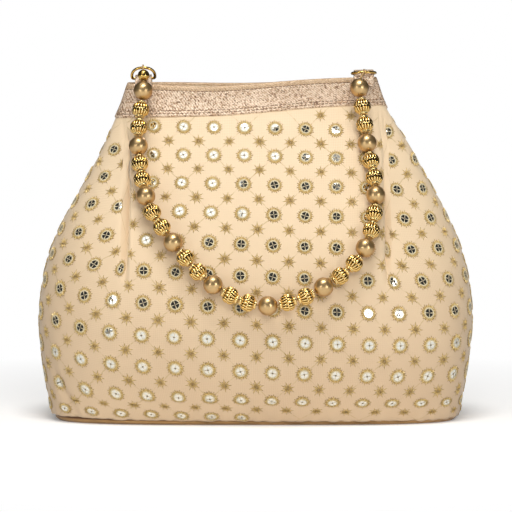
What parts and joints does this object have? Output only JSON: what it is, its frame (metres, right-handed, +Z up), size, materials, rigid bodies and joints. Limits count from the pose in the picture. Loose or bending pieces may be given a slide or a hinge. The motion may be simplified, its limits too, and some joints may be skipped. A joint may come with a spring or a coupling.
{
  "type": "potli bag",
  "caption": "Wide-bellied potli pouch of mirror-embroidered cloth on a flat base, with a stiff rim band and a swinging handle of pearls and fluted gold beads.",
  "frame": {"origin": "middle of the base's underside, on the surface that the bag stands on", "axes": "+Z up through the mouth, +X along the bag's width to the viewer's right, -Y out of the front face on which the handle lies"},
  "size_m": [0.2758, 0.1459, 0.2237],
  "materials": {
    "embroidered_cloth": "champagne silk-blend cloth with gold embroidery and sewn mirrors",
    "band_twill": "rose-gold glitter twill",
    "lining_satin": "plain satin",
    "base_gold": "gold coated cloth",
    "board": "grey board",
    "gold_wire": "polished gold plate",
    "pearl_coat": "champagne-gold pearl lacquer",
    "gold_plate": "bright gold plate",
    "cord": "waxed nylon"
  },
  "bodies": {
    "bag": {"outer_shell": "embroidered_cloth", "rim_band": "band_twill", "lining": "lining_satin", "base_panel": "base_gold", "base_board": "board", "ring_tab_left": "band_twill", "ring_tab_right": "band_twill"},
    "ring_left": {"ring_left": "gold_wire"},
    "ring_right": {"ring_right": "gold_wire"},
    "handle": {"handle_cord": "cord", "crimp_ball": "gold_wire", "pearl_bead_01": "pearl_coat", "pearl_bead_02": "pearl_coat", "pearl_bead_03": "pearl_coat", "pearl_bead_04": "pearl_coat", "pearl_bead_05": "pearl_coat", "pearl_bead_06": "pearl_coat", "pearl_bead_07": "pearl_coat", "pearl_bead_08": "pearl_coat", "pearl_bead_09": "pearl_coat", "pearl_bead_10": "pearl_coat", "pearl_bead_11": "pearl_coat", "fluted_bead_01": "gold_plate", "fluted_bead_02": "gold_plate", "fluted_bead_03": "gold_plate", "fluted_bead_04": "gold_plate", "fluted_bead_05": "gold_plate", "fluted_bead_06": "gold_plate", "fluted_bead_07": "gold_plate", "fluted_bead_08": "gold_plate", "fluted_bead_09": "gold_plate", "fluted_bead_10": "gold_plate", "fluted_bead_11": "gold_plate", "fluted_bead_12": "gold_plate", "fluted_bead_13": "gold_plate", "fluted_bead_14": "gold_plate", "fluted_bead_15": "gold_plate", "fluted_bead_16": "gold_plate", "fluted_bead_17": "gold_plate", "fluted_bead_18": "gold_plate", "fluted_bead_19": "gold_plate", "fluted_bead_20": "gold_plate"}
  },
  "joints": [
    {"name": "ring_left_swing", "type": "hinge", "parent": "bag", "child": "ring_left", "pos_m": [0, 0, 0.2162], "axis": [-0.9998, 0, -0.022], "range_deg": [0, 120]},
    {"name": "ring_right_swing", "type": "hinge", "parent": "bag", "child": "ring_right", "pos_m": [0, 0, 0.2162], "axis": [-0.9998, 0, -0.022], "range_deg": [0, 120]},
    {"name": "handle_swing", "type": "hinge", "parent": "ring_left", "child": "handle", "pos_m": [-0.07113, -0.00566, 0.22138], "axis": [-0.9996, 0.0222, 0.0199], "range_deg": [0, 150]}
  ],
  "couplings": [
    {"joint": "ring_right_swing", "follows": "ring_left_swing", "ratio": 1}
  ]
}
